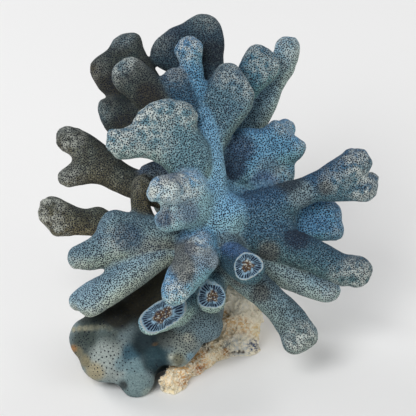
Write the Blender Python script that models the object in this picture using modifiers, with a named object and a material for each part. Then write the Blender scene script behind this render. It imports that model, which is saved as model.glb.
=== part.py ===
"""A blue ridge coral: a branching colony that grows from an encrusting base on a piece of reef rock.

Run it with  blender --background --python part.py  or from Blender's text editor.

The colony is described face-on, in its own frame and in millimetres: across (to the right), front (out
of the face) and up (along its growth). It then leans back by LEAN, is cut flat underneath, and stands on
the cut. Each main limb is its own solid. A limb ends a hair's breadth from what it grows out of.
"""

import math

import bmesh
import bpy
from mathutils import Matrix, Vector

MM = 0.001

# Driving dimensions, in millimetres unless a name says otherwise.
LEAN = math.radians(30)  # how far the colony leans back from upright
CUT_BELOW = 76.5  # from the colony's origin straight down to the flat cut
KERF = 1.0  # the gap between a limb and what it grows out of
GRAIN = 1.5  # the size of the cells in which the lumps of a limb are melted together
SOFTEN = 9  # rounds of smoothing that round off its edges and fill its crotches
FINE_GRAIN = 1.0  # the cells of its skin once its root is cut
FINE_SOFTEN = 3  # rounds of smoothing of the cut
SWELL = 0.2  # what that smoothing takes off the surface, given back
LIMB_FACET = 13.6  # the area of an ordinary facet of a limb, in square millimetres
BASE_FACET = 10.5  # the same on the base and the rock
FAN = 12.0  # thickness of an ordinary fan or paddle
CUTTER_SIZE = 400.0

CORAL_BLUE = (0.16, 0.26, 0.34, 1.0)
ROCK_TAN = (0.62, 0.48, 0.30, 1.0)


# ---------------------------------------------------------------- the scene and its materials


def clear_scene():
    for thing in list(bpy.data.objects):
        bpy.data.objects.remove(thing)


def new_collection(name):
    made = bpy.data.collections.new(name)
    bpy.context.scene.collection.children.link(made)
    return made


def new_material(name, colour, roughness):
    made = bpy.data.materials.new(name)
    made.use_nodes = True
    shader = made.node_tree.nodes["Principled BSDF"]
    shader.inputs["Base Color"].default_value = colour
    shader.inputs["Roughness"].default_value = roughness
    shader.inputs["Metallic"].default_value = 0.0
    return made


# ---------------------------------------------------------------- the shapes that a limb is melted from


def colony_point(across, front, up):
    """A place on the colony, in metres. Blender's +Y points away from the colony's face."""
    return Vector((across, -front, up)) * MM


def evaluated_mesh(thing):
    bpy.context.view_layer.update()
    graph = bpy.context.evaluated_depsgraph_get()
    return bpy.data.meshes.new_from_object(thing.evaluated_get(graph))


def take_curve(soup, curve, matrix):
    """Adds a curve's mesh to the soup of shapes, placed by the matrix."""
    thing = bpy.data.objects.new("guide", curve)
    bpy.context.scene.collection.objects.link(thing)
    mesh = evaluated_mesh(thing)
    mesh.transform(matrix)
    soup.from_mesh(mesh)
    bpy.data.objects.remove(thing)
    bpy.data.curves.remove(curve)
    bpy.data.meshes.remove(mesh)


def lump(across, front, up, radius, stretch=(1, 1, 1)):
    """A boulder, stretched along across, front and up."""

    def add(soup):
        place = Matrix.Translation(colony_point(across, front, up))
        size = Matrix.Diagonal((*stretch, 1))
        bmesh.ops.create_icosphere(soup, subdivisions=3, radius=radius * MM, matrix=place @ size)

    return add


def finger(*points, cut=False):
    """A tapering finger through points of (across, front, up, radius), with a round tip or a broken-off one."""

    def add(soup):
        curve = bpy.data.curves.new("finger", "CURVE")
        curve.dimensions = "3D"
        curve.bevel_depth = MM
        curve.bevel_resolution = 3
        curve.resolution_u = 5
        curve.use_fill_caps = True
        spline = curve.splines.new("BEZIER")
        spline.bezier_points.add(len(points) - 1)
        for knot, (across, front, up, radius) in zip(spline.bezier_points, points):
            knot.co = colony_point(across, front, up)
            knot.radius = radius
            knot.handle_left_type = knot.handle_right_type = "AUTO"
        take_curve(soup, curve, Matrix.Identity(4))
        if not cut:
            lump(*points[-1])(soup)

    return add


def fan(outline, front, thick=FAN, lean_across=0.0, lean_up=0.0):
    """A flat fan of coral from its outline in (across, up). It comes forward by lean_across per millimetre
    to the right, and by lean_up per millimetre upwards, from its middle."""

    def add(soup):
        edge = min(thick * 0.3, 3.5)
        curve = bpy.data.curves.new("fan", "CURVE")
        curve.dimensions = "2D"
        curve.fill_mode = "BOTH"
        curve.extrude = (thick / 2 - edge) * MM
        curve.bevel_depth = edge * MM
        curve.bevel_resolution = 2
        curve.offset = -edge * MM
        curve.resolution_u = 4
        spline = curve.splines.new("BEZIER")
        spline.use_cyclic_u = True
        spline.bezier_points.add(len(outline) - 1)
        for knot, (across, up) in zip(spline.bezier_points, outline):
            knot.co = (across * MM, up * MM, 0)
            knot.handle_left_type = knot.handle_right_type = "AUTO"
        middle = [sum(values) / len(outline) * MM for values in zip(*outline)]
        forward = front * MM - lean_across * middle[0] - lean_up * middle[1]
        matrix = Matrix((
            (1, 0, 0, 0),
            (-lean_across, -lean_up, -1, -forward),
            (0, 1, 0, 0),
            (0, 0, 0, 1),
        ))
        take_curve(soup, curve, matrix)

    return add


# ---------------------------------------------------------------- the base


def reef_rock():
    """The rough piece of reef under the colony: a brow on the right, a toe in front, a heel behind."""
    return [
        fan([(2, -48), (14, -40), (22, -43.5), (29, -51.5), (27, -59), (26, -65), (27, -74), (20, -82),
             (4, -80), (-6, -66)], front=-28, thick=26, lean_up=0.577),
        finger((14, -30, -62, 13), (2, -20, -70, 9.5), (-6, -12.5, -75.5, 8), (-12, -2, -81.5, 6.4),
               (-18.5, 6, -87, 7.2)),
        lump(10, -36, -60, 16),
        lump(2, -54, -46, 21),
        lump(-26, -46, -52, 21),
        lump(20, -29, -31, 11, (1.05, 1, 1)),
        lump(14, -40, -42, 14),
        finger((10, -16, -56, 10), (13, -24, -46, 10), (24, -32, -38, 9), (31.5, -26, -34.5, 5.5)),
    ]


def encrusting_base():
    """The living crust over the rock: two swollen bulbs, a tongue, and the broad foot of the colony."""
    return [
        lump(-51, 5, -74, 13),
        lump(-59, 0, -65, 10.5),
        lump(-49, -7, -62, 14.5),
        lump(-35.5, 7.5, -85, 9),
        lump(-36, -3, -72, 14.5),
        lump(-24, -1, -70, 13.5),
        finger((-12, 0, -62, 12), (-13, 4, -70, 8), (-14, 6, -74.5, 4.9)),
        finger((-52, -12, -54, 10.5), (-38, -15, -46, 13), (-24, -16, -34, 13), (-12, -8, -26, 12)),
        lump(-43.5, -12, -29, 3.5),
        finger((-16, 2, -56, 9), (-5, 6, -55, 8), (-0.3, 8, -58.6, 8)),
        lump(-13, -14, -56, 17),
        finger((3, -10, -44, 7), (3, -5, -36, 7.5), (3, 0, -26, 9)),
    ]


def trunk():
    """The stem of the colony, which comes forward as it rises, then leans back under the crown."""
    return [
        finger((-8, -12, -54, 16), (-4, -6, -38, 14.5), (-1, 1, -20, 13.5), (-1, 7, -4, 12.5), (-1.5, 9, 14, 10.5),
               (-2, 6, 30, 9.5), (-2, 0, 44, 9)),
        lump(9.3, 8, -3, 10.3),
        lump(10, -2, -10, 12),
        finger((0, 0, 6, 11), (12, -10, 8, 9), (22, -13, 4, 7)),
    ]


def top_fan():
    """The great ear at the top, behind everything else."""
    return [
        fan([(-29, 77), (-27.5, 82.5), (-22, 88.5), (-13, 92.5), (-6, 97), (0.5, 98.3), (5, 94.5), (7.7, 86),
             (7, 77), (4, 68), (2, 56), (-2, 46), (-9, 50), (-12, 60), (-17, 68), (-24, 70.8)],
            front=-16, thick=13, lean_up=-0.25),
        finger((0, -4, 40, 9), (1, -11, 56, 6.5), (2.5, -16, 74, 5.5), (2, -20, 90, 5)),
    ]


def top_finger():
    """The knobbly finger in front of the ear."""
    return [
        finger((-3, 0, 46, 7), (-4.6, 1, 56, 4.9), (-6.8, 0, 65, 4.8), (-8.6, -1, 73, 5.9), (-9.1, -1, 79, 7.2)),
        lump(-13, -1, 78.5, 4.2),
        lump(-4.9, 0, 80.5, 3.1),
        lump(-10, -1, 83, 4.2),
    ]


def little_left_fan():
    """The small fan with a split crest between the ear and the left fans."""
    return [
        fan([(-23, 66), (-20, 68.5), (-14, 70.3), (-10.5, 65), (-7, 58), (-3, 48), (-8, 40), (-20, 44), (-24, 56)],
            front=3, thick=11, lean_up=-0.1),
    ]


def middle_left_fan():
    """The fan with a scalloped rim, in front of the rear one."""
    return [
        fan([(-48.3, 64.5), (-47.5, 69), (-44, 73), (-38, 76.2), (-34, 73.5), (-29, 69.5), (-24, 64), (-17, 54),
             (-8, 42), (-16, 38), (-28, 47), (-40, 55), (-46, 60)], front=5, thick=11, lean_across=-0.12),
    ]


def rear_left_fan():
    """The two-lobed fan at the far upper left."""
    return [
        fan([(-58.8, 68), (-57.5, 73.3), (-54, 77), (-49.5, 79), (-48, 84), (-45, 87), (-40, 88), (-35, 87.8),
             (-33.3, 81), (-31, 76), (-27, 70), (-20, 58), (-6, 44), (-12, 36), (-28, 46), (-45, 54.3),
             (-53, 58), (-56.5, 63)], front=-10, thick=11.5, lean_across=0.1, lean_up=-0.1),
        lump(-55.5, -10, 71, 4.5),
    ]


def low_left_fan():
    """The plain fan below them, half behind the front paddle."""
    return [
        fan([(-55.4, 50.5), (-54, 54.2), (-49, 54.8), (-42, 54), (-32, 51.5), (-20, 46), (-8, 38), (-8, 26),
             (-22, 30), (-38, 34), (-47.5, 36.5), (-51.7, 41), (-54.6, 46)],
            front=-4, thick=12, lean_across=0.15),
    ]


def right_paddle():
    """The blunt paddle in front of the long finger."""
    return [
        fan([(14, 66), (17.5, 75), (20.3, 81), (24, 82.4), (29, 81), (33, 78), (36.3, 73), (35.8, 68.5),
             (32, 63.5), (27, 60), (22, 54), (14, 42), (4, 34), (2, 46), (10, 58)],
            front=-12, thick=11.5, lean_across=0.05, lean_up=-0.12),
    ]


def upper_right_fan():
    """The fan that turns its edge to the front, right of the crown."""
    return [
        fan([(-6, 42), (-3, 55), (0, 61.5), (3, 67.5), (6, 71.3), (9.5, 72.6), (13.5, 71), (17.5, 66.5), (21, 61.5),
             (23.3, 56.5), (22, 51), (18, 45.5), (13, 39), (8, 30.5), (3, 21), (-5, 26)],
            front=3, thick=13, lean_across=0.3, lean_up=-0.15),
    ]


def long_right_finger():
    """The long finger that leans out at the upper right, with two knuckles on its outer side."""
    return [
        finger((4, -10, 20, 9), (14, -20, 31, 8), (21.3, -24, 42, 6.9), (28.8, -26, 53, 6.5), (33, -28, 62.8, 5.4),
               (38, -29, 72, 6.7), (40.6, -30, 82, 6.6)),
    ]


def right_crest():
    """The broad crest on the right, with a peak, a blunt nose and a lower lip."""
    return [
        fan([(2, 24), (8, 33), (14, 38.5), (20, 40), (26.5, 39), (31, 42), (34, 44.8), (36.5, 42.5), (40, 38.5),
             (44, 35.2), (48, 33.5), (50.2, 30), (48, 26.5), (43, 24.2), (36, 22.5), (26, 17), (12, 10), (2, 10)],
            front=-6, thick=12.5, lean_across=-0.05),
        finger((26, -10, 30, 7), (34, -14, 36, 6), (39.4, -16, 40, 5.6)),
        finger((10, -6, 20, 9), (24, -9, 20, 7.6), (37.5, -10, 17.2, 7)),
    ]


# ---------------------------------------------------------------- the right arm


def right_upper_arm():
    """The long arm to the right with its shoulder. It ends in two knuckles and a nub."""
    return [
        fan([(12, 4), (16, 15), (22, 16.8), (30, 14.6), (37, 12.4), (44, 10), (34, 2), (22, -2)],
            front=-7, thick=9, lean_up=-0.2),
        lump(21, 3, -8, 11.5, (1, 0.8, 1)),
        lump(31, 3, -9, 13, (1, 0.7, 1)),
        finger((16, 4, -4, 10), (28, 4, -1, 9.3), (40, 5, 5, 8), (51, 6, 9.5, 7), (60, 7, 12.8, 8),
               (68, 9, 19, 7.9), (73.8, 10, 23, 7.5)),
        finger((58, 6, 10, 7), (69, 4, 10.4, 7.2), (78, 4, 10.3, 7.4)),
        finger((79, 2, 12, 4.4), (83.6, 0, 15.6, 2.9)),
    ]


def right_middle_arm():
    """The blunt hand behind the right arms."""
    return [
        fan([(30, 0), (44, 2), (54, 3.6), (61, 3.9), (66.3, 1), (67.3, -2.5), (66.5, -6), (68.8, -11), (67, -15.3),
             (60, -16), (50, -16.5), (34, -20), (26, -12)], front=-8, thick=11.5, lean_across=-0.05),
    ]


def right_lower_arm():
    """The arm that droops to the right and ends in a cluster of knuckles."""
    return [
        finger((18, 1, -10, 10), (31, 4, -16.3, 10), (42, 6, -19.6, 8.6), (51, 8, -22.8, 8.6), (60, 9, -27.6, 8),
               (68, 10, -30.8, 7.6), (74.3, 10, -30.8, 7.6)),
        lump(75, 10, -34, 6.4),
        lump(67, 9, -35.3, 4.6),
    ]


def right_lower_lobe():
    """The short lobe under the drooping arm."""
    return [
        finger((18, 0, -12, 10), (28, -1, -21, 9.5), (38, -3, -30.5, 9.3), (47, -5, -34.8, 7.9), (55, -6, -39, 7.9),
               (59.8, -6, -41.3, 6.8)),
    ]


def low_right_branch():
    """The branch that runs down to the right and ends in two toes."""
    return [
        finger((5, 8, -16, 10), (12, 12, -27, 9.2), (20, 14, -35.5, 7.8), (29, 14, -43, 7.3), (36, 12, -50, 7.8),
               (42.2, 10, -57.5, 8.3), (48.1, 9, -63, 7)),
        finger((40.6, 11, -56, 6), (43, 10, -67, 6.3)),
    ]


def right_stub():
    """The thick stub on that branch, broken off across its end."""
    return [finger((9, 12, -22, 8), (16, 24, -27.5, 7.8), (21.6, 37, -31, 8.4), cut=True)]


# ---------------------------------------------------------------- the front


def front_paddle():
    """The large paddle that comes forward at the upper left."""
    return [
        fan([(-50.3, 33.5), (-48.8, 38.5), (-46, 40), (-40, 38.3), (-36.7, 41.5), (-34, 46.8), (-30, 50.8),
             (-24, 53.3), (-15, 53), (-9, 51), (-5.6, 46.5), (-6, 39), (-2, 30), (2, 18), (-4, 12), (-14, 13),
             (-20, 19), (-26, 24), (-36, 25.3), (-44, 24), (-47.8, 27)],
            front=21, thick=13, lean_across=-0.16, lean_up=0.05),
        finger((-2, 8, 18, 9.5), (-8, 14, 28, 9.5), (-16, 19, 36, 7)),
    ]


def front_stub():
    """The short forked stub under the paddle."""
    return [
        finger((-3, 10, 4, 9.5), (-9, 24, 7.4, 9), (-16, 34, 8.8, 8.2), (-22.2, 40, 8, 8.2)),
        finger((-4, 12, -1, 8), (-12, 26, -3, 7.5), (-19.5, 32, -5.2, 7)),
        lump(-9, 26, 10.5, 8.2),
    ]


def front_club():
    """The club that points down and to the front."""
    return [finger((-4, 10, -13, 9.5), (-6.3, 22, -24, 10.3), (-8.7, 31, -29.5, 9.9), (-13.3, 39, -36, 8.3),
                   (-16.4, 45, -41.3, 6.8))]


def middle_stub():
    """The short stub below the club, broken off across its end."""
    return [finger((1, 4, -30, 8), (1.5, 16, -39, 7.2), (1.7, 30, -47, 7.2), cut=True)]


def left_stub():
    """The flattened stub over the base, broken off across its end."""
    return [
        finger((-9, 4, -47, 7), (-14, 14, -49.5, 6.6), (-22.4, 27, -51.8, 6.6), cut=True),
        finger((-10, 4, -49, 7), (-19, 14, -53.5, 6), (-31.6, 27, -57.8, 6), cut=True),
        finger((-9, 4, -48, 7), (-17, 14, -51.5, 6.6), (-26.8, 27, -54.7, 6.8), cut=True),
    ]


# ---------------------------------------------------------------- the left


def left_antler():
    """The forked antler at the left."""
    return [
        finger((-4, 0, 6, 10), (-20, -5, 7.5, 8.5), (-34, -6, 11, 7.6), (-46, -6, 16.5, 7.4), (-56, -5, 24, 8.8),
               (-63, -4, 31, 7.3), (-70.2, -4, 34.8, 6.8)),
        finger((-52, -6, 20, 7.8), (-62, -5, 18.5, 6.5), (-70.3, -4, 15, 5.6)),
    ]


def left_thumb():
    """The small dark thumb over the antler's root."""
    return [finger((-4, 4, 14, 8), (-17, 2, 18.5, 6), (-26, 1, 19.2, 4.6), (-32.2, 1, 17.9, 3.6))]


def left_riser():
    """The finger that rises in front of the antler's root."""
    return [finger((-18, 2, -12, 8), (-29, 5, -10, 6.5), (-33.6, 6, 0, 5), (-32.8, 7, 11.6, 5.4))]


def low_antler():
    """The lower, longer antler at the left, with a knob on its back."""
    return [
        finger((-8, -4, -10, 11), (-26, -13, -12, 8.3), (-44, -14, -10, 6.7), (-58, -13, -8, 5.8), (-68, -12, -4.6, 5.8),
               (-79.3, -11, -0.6, 7)),
        finger((-56, -13, -9, 4.8), (-68, -12, -9.4, 4.2), (-76, -11, -10.7, 4.8)),
        finger((-54, -14, -9, 5), (-55.5, -15, -4.8, 6)),
        lump(-80, -11, -3, 5.8),
    ]


def left_front_branch():
    """The broad branch to the left front, with a hump and a blunt tip."""
    return [
        finger((-4, 5, -8, 9.5), (-18, 9, -13, 9.5), (-32, 11, -15, 10.8), (-44, 12, -17, 11), (-54, 14, -21.8, 8.2),
               (-63.1, 16, -24.6, 6.7)),
        finger((-36, 11, -12, 9), (-45.8, 12, -9.9, 8.9)),
        finger((-24, 9, -14, 8), (-36, 10, -18, 9.4), (-46, 10, -20.8, 8.2)),
    ]


def left_lowest_branch():
    """The lowest branch on the left, which ends in two tips side by side."""
    return [
        finger((-5, 5, -10, 9), (-18, 9, -18, 7.8), (-30, 12, -26, 8.3), (-41, 14, -34.5, 8.3), (-51, 16, -41.6, 7.8),
               (-58.4, 17, -47.4, 6.7)),
        finger((-38, 8, -33, 6.5), (-52, 6, -39.5, 6.2), (-64, 5, -46.3, 6)),
    ]


# ---------------------------------------------------------------- the back


def back_high_branch():
    """A forked branch behind the crown."""
    return [
        finger((0, -2, 30, 10), (-3, -20, 46, 8), (-7, -33, 60, 6.5), (-9, -40, 71, 5.5)),
        finger((-4, -26, 52, 6), (3, -38, 57, 5.5), (7, -48, 62, 5)),
    ]


def back_right_branch():
    """A forked branch behind the right crest."""
    return [
        finger((2, -4, 12, 11), (9, -24, 24, 8), (13, -38, 40, 6.5), (13, -46, 54, 5.6)),
        finger((10, -28, 28, 6.5), (20, -42, 30, 6), (28, -52, 31, 5.2)),
    ]


def back_left_branch():
    """A blunt branch behind the front stub."""
    return [
        finger((0, -2, 2, 11), (-9, -24, 6, 8.5), (-14, -40, 11, 7), (-14, -52, 16, 5.8)),
        finger((-10, -26, 2, 6.5), (-20, -40, 0, 6), (-24, -50, 3, 5)),
    ]


def back_low_branch():
    """A forked branch low on the back."""
    return [
        finger((2, -6, -16, 11), (6, -26, -12, 8.5), (8, -44, -4, 7), (6, -58, 4, 5.8)),
        finger((7, -32, -11, 6.5), (16, -46, -12, 5.8), (20, -56, -8, 5)),
    ]


# The nodes, named as their functions are. Those that come first carry the later ones.
LIMBS = (
    reef_rock, encrusting_base, trunk, top_fan, upper_right_fan, front_paddle, top_finger, middle_left_fan,
    little_left_fan, rear_left_fan, low_left_fan, right_paddle, long_right_finger, right_crest, right_upper_arm,
    right_middle_arm, right_lower_arm, right_lower_lobe, low_right_branch, right_stub, front_stub, front_club,
    middle_stub, left_stub, left_front_branch, left_lowest_branch, left_riser, left_thumb, left_antler,
    low_antler, back_high_branch, back_right_branch, back_left_branch, back_low_branch,
)


# ---------------------------------------------------------------- melting, cutting and standing


def apply_modifiers(thing):
    """Replaces the object's mesh by what its modifiers make of it."""
    made = evaluated_mesh(thing)
    old = thing.data
    thing.modifiers.clear()
    thing.data = made
    if not old.users:
        bpy.data.meshes.remove(old)


def new_solid(name, soup):
    """An object with the mesh of a soup of shapes."""
    mesh = bpy.data.meshes.new(name)
    soup.to_mesh(mesh)
    soup.free()
    solid = bpy.data.objects.new(name, mesh)
    bpy.context.scene.collection.objects.link(solid)
    return solid


def melt(shapes):
    """One closed skin round all the shapes of a limb, softened."""
    soup = bmesh.new()
    for add in shapes():
        add(soup)
    limb = new_solid(shapes.__name__, soup)
    add_skin(limb, GRAIN)
    add_smoothing(limb, SOFTEN)
    add_swell(limb, SWELL)
    if shapes is reef_rock:
        roughen(limb)
    add_skin(limb, GRAIN)
    apply_modifiers(limb)
    return limb


def add_skin(thing, grain):
    """A closed skin of even cells, without folds."""
    skin = thing.modifiers.new("skin", "REMESH")
    skin.mode = "VOXEL"
    skin.voxel_size = grain * MM


def add_smoothing(thing, rounds):
    """Rounds off what sticks out, and fills what is sunk."""
    soften = thing.modifiers.new("soften", "SMOOTH")
    soften.factor = 0.5
    soften.iterations = rounds


def add_swell(thing, amount):
    """Grows a solid by the amount, in millimetres, all over."""
    swell = thing.modifiers.new("swell", "DISPLACE")
    swell.strength = amount * MM
    swell.mid_level = 0.0


def facet(limb, size):
    """Cuts the skin down to facets of about the given size, in square millimetres."""
    triangles = sum(len(face.vertices) - 2 for face in limb.data.polygons)
    area = sum(face.area for face in limb.data.polygons)
    thin = limb.modifiers.new("facets", "DECIMATE")
    thin.ratio = min(1.0, area / (size * MM * MM * triangles))
    apply_modifiers(limb)


def roughen(limb):
    """Ledges and pits of weathered reef rock."""
    for name, kind, scale, depth in (("ledges", "CLOUDS", 11, 5.0), ("pits", "VORONOI", 7, 2.6)):
        pattern = bpy.data.textures.new(name, kind)
        pattern.noise_scale = scale * MM
        bumps = limb.modifiers.new(name, "DISPLACE")
        bumps.texture = pattern
        bumps.strength = depth * MM
        bumps.mid_level = 0.5


def merged(solids):
    """One solid round all the given ones, larger than them by the kerf all over."""
    soup = bmesh.new()
    for solid in solids:
        soup.from_mesh(solid.data)
    whole = new_solid("grown", soup)
    add_swell(whole, KERF)
    add_skin(whole, GRAIN)
    apply_modifiers(whole)
    return whole


def bounds(thing):
    corners = [vertex.co for vertex in thing.data.vertices]
    low = Vector([min(corner[i] for corner in corners) for i in range(3)])
    high = Vector([max(corner[i] for corner in corners) for i in range(3)])
    return low, high


def near(one, other):
    """True if the boxes of two solids meet."""
    (low_a, high_a), (low_b, high_b) = bounds(one), bounds(other)
    return all(low_a[i] < high_b[i] and low_b[i] < high_a[i] for i in range(3))


def subtract(thing, cutter):
    cut = thing.modifiers.new("cut", "BOOLEAN")
    cut.operation = "DIFFERENCE"
    cut.object = cutter
    apply_modifiers(thing)


def keep_largest(thing):
    """Removes the crumbs that a cut leaves: all but the largest connected body."""
    body = bmesh.new()
    body.from_mesh(thing.data)
    bodies, seen = [], set()
    for start in body.verts:
        if start in seen:
            continue
        island, edge = {start}, [start]
        while edge:
            here = edge.pop()
            for link in here.link_edges:
                there = link.other_vert(here)
                if there not in island:
                    island.add(there)
                    edge.append(there)
        seen |= island
        bodies.append(island)
    largest = max(bodies, key=len)
    bmesh.ops.delete(body, geom=[v for v in body.verts if v not in largest], context="VERTS")
    body.to_mesh(thing.data)
    body.free()


def stand(limbs):
    """Leans the colony back, sets the cut at the height of the ground, and centres it there."""
    leaned = Matrix.Translation((0, 0, CUT_BELOW * MM)) @ Matrix.Rotation(-LEAN, 4, "X")
    for limb in limbs:
        limb.data.transform(leaned)
    bpy.ops.mesh.primitive_cube_add(size=CUTTER_SIZE * MM, location=(0, 0, -CUTTER_SIZE * MM / 2))
    ground = bpy.context.object
    ground.name = "ground"
    for limb in limbs:
        if bounds(limb)[0].z < 0:
            subtract(limb, ground)
            keep_largest(limb)
    boxes = [bounds(limb) for limb in limbs]
    middle = [(min(low[i] for low, high in boxes) + max(high[i] for low, high in boxes)) / 2 for i in range(2)]
    centre = Matrix.Translation((-middle[0], -middle[1], 0))
    for limb in limbs:
        limb.data.transform(centre)
    ground.location = centre @ ground.location
    return ground


def build():
    clear_scene()
    coral = new_material("coral", CORAL_BLUE, 0.85)
    rock = new_material("rock", ROCK_TAN, 0.9)
    limbs, wholes = [], []
    for shapes in LIMBS:
        limb = melt(shapes)
        neighbours = [whole for whole in wholes if near(limb, whole)]
        wholes.append(limb.copy())
        if neighbours:
            grown = merged(neighbours)
            subtract(limb, grown)
            bpy.data.objects.remove(grown)
            add_skin(limb, FINE_GRAIN)
            add_smoothing(limb, FINE_SOFTEN)
            apply_modifiers(limb)
            keep_largest(limb)
        facet(limb, BASE_FACET if shapes in (reef_rock, encrusting_base) else LIMB_FACET)
        limb.data.materials.clear()
        limb.data.materials.append(rock if shapes is reef_rock else coral)
        limbs.append(limb)
    for whole in wholes:
        bpy.data.objects.remove(whole)
    ground = stand(limbs)
    colony = new_collection("blue_ridge_coral")
    tools = new_collection("cutters")
    for thing, home in [(limb, colony) for limb in limbs] + [(ground, tools)]:
        for held in list(thing.users_collection):
            held.objects.unlink(thing)
        home.objects.link(thing)
    ground.hide_render = True
    ground.display_type = "WIRE"


build()
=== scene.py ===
"""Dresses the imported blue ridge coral: one grown skin over all the limbs, its pores and pale tips, the
broken stub ends, and the tan reef rock that the colony stands on.

A place on the colony is given face-on, in millimetres from its root: across (to the right), front (out of
the face) and up (along its growth). The colony leans back by LEAN in the frame.
"""
import math

import bpy
import numpy as np
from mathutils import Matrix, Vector, noise
from mathutils.bvhtree import BVHTree
from mathutils.kdtree import KDTree


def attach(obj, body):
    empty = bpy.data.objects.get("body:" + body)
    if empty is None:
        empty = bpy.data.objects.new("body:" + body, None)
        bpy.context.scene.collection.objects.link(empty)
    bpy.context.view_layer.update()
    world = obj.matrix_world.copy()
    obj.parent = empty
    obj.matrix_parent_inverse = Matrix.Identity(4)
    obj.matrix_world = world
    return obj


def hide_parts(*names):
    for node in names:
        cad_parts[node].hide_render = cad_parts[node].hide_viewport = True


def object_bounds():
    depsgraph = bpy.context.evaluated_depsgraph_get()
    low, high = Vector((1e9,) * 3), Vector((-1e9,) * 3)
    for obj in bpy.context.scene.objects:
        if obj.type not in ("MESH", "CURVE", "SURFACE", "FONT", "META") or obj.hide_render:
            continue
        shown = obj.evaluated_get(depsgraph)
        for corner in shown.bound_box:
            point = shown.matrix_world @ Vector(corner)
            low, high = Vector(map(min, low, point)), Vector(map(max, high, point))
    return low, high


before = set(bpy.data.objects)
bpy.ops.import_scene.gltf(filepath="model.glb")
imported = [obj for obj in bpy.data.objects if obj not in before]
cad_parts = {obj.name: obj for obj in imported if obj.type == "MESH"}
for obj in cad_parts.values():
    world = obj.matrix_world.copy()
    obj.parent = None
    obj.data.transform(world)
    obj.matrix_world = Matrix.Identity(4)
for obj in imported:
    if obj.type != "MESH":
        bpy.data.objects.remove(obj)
CAD_BOX = [list(corner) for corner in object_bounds()]

bl_info = {
    "name": "Blue Ridge Coral",
    "version": (1, 0, 0),
    "blender": (4, 5, 0),
    "location": "3D View > Sidebar > Coral",
    "description": "Grows the porous skin of a blue coral colony and dresses its reef rock",
    "category": "Object",
}

MM = 0.001
LEAN = math.radians(30)  # how far the colony leans back from upright
ROOT_OF_COLONY = Vector((0.19, -5.43, 76.5)) * MM  # where its limbs spread from, in the frame
ROCK = "reef_rock"
BASE = "encrusting_base"
LIMBS = sorted(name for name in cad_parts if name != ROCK)
BAKE_MAP = "OFBake"
MERGE = 0.001 * MM  # points closer than this are one point
INSET = 0.02 * MM  # how far the skin stays inside the box of the solids
CAP_DEPTH = 2 * MM  # how far the cap of a limb's hidden end sinks into the limb
FOOT = 0.05 * MM  # points lower than this lie on the flat cut and stay on it
FOOT_BAND = 0.5 * MM  # no pore opens this close to the cut
SHAKE = 0.22 * MM  # how far the points shift before the pores are chosen, so that no rows show
BULB_GAP = 1.1  # how much further apart the pores stand on the bulb, as a share
BARE_SHARE = 0.985  # how many of the pores are missing where the crust is bare
MOUTH_SHARES = (0.6, 1.0)  # how wide the mouths are, as shares of the pore radius
MOUTH_ON_EDGE = 0.93  # how much of its shortest edge a mouth may take
LEAST_WEIGHT = 0.51  # Bevel leaves out points that weigh 0.5 or less


def tint(red, green, blue):
    """A colour as a paint chart gives it, 0 to 255, as the linear values that a shader takes."""
    share = [value / 255 for value in (red, green, blue)]
    return tuple(v / 12.92 if v <= 0.04045 else ((v + 0.055) / 1.055) ** 2.4 for v in share)


# ---------------------------------------------------------------- settings that a user may change


def length(name, description, default_mm):
    """A length that a user may change."""
    return bpy.props.FloatProperty(
        name=name, description=description, default=default_mm * MM, min=0, precision=5,
        subtype="DISTANCE", unit="LENGTH",
    )


def colour(name, description, default):
    """A colour that a user may change."""
    return bpy.props.FloatVectorProperty(
        name=name, description=description, default=tint(*default), size=3, min=0, max=1, subtype="COLOR",
    )


class CoralSizes(bpy.types.PropertyGroup):
    swell: length("Swell", "How far the skin swells over the limbs to grow them together", 0.6)
    coarse: length("Coarse grain", "Size of the cells that melt the limbs into one skin", 1.0)
    fine: length("Fine grain", "Size of the cells that carry the pores", 0.6)
    pore_gap: length("Pore gap", "Least distance between two pores", 0.88)
    pore_radius: length("Pore radius", "From the middle of a pore to its rim", 0.5)
    pore_depth: length("Pore depth", "How deep a pore goes", 0.6)
    rock_grain: length("Rock grain", "Size of the cells that carry the rock's relief", 0.52)


class CoralColours(bpy.types.PropertyGroup):
    # Pore is painted shade: near-black navy inside the pore holes. The same colour also makes the navy
    # specks and blotches.
    pore: colour("Pore", "The inside of a pore", (16, 26, 42))
    chalk: colour("Chalk", "The palest grains of a growing tip", (216, 220, 212))
    # Grime: the olive-brown grime of some limbs, and also painted shade in the forks
    grime: colour("Grime", "The olive-brown film in the forks", (54, 49, 35))
    rich: colour("Rich blue", "The deep blue patches", (40, 78, 128))
    septum: colour("Septum", "The radial ribs of a broken end", (128, 160, 182))
    # Slot: dark navy, painted shade in the gaps between the ribs
    slot: colour("Slot", "The gaps between those ribs", (14, 28, 58))
    core: colour("Core", "The rusty middle of a broken end", (88, 66, 44))
    cream: colour("Rock cream", "Bleached reef rock", (244, 236, 214))
    ochre: colour("Rock ochre", "Stained reef rock", (176, 124, 70))
    # Rock soil: the rock's dark holes, and also painted shade in its hollows
    soil_and_hollow_shade: colour("Rock soil", "The dark holes of the rock", (50, 36, 26))


class CoralStage(bpy.types.PropertyGroup):
    lens: bpy.props.FloatProperty(
        name="Lens", description="Focal length of the camera, in mm", default=276.9, min=1,
        subtype="DISTANCE_CAMERA",
    )
    distance: bpy.props.FloatProperty(
        name="Distance", description="From the camera to the colony", default=1.6, min=0.1,
        subtype="DISTANCE", unit="LENGTH",
    )
    floor: colour("Floor", "The pale floor", (238, 238, 238))


# ---------------------------------------------------------------- places


def colony_places(mesh):
    """Every point of a mesh as (across, front, up) in millimetres on the colony."""
    world = points_of(mesh) - np.array(ROOT_OF_COLONY)
    up = world[:, 1] * math.sin(LEAN) + world[:, 2] * math.cos(LEAN)
    front = world[:, 2] * math.sin(LEAN) - world[:, 1] * math.cos(LEAN)
    return np.column_stack((world[:, 0], front, up)) / MM


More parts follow.
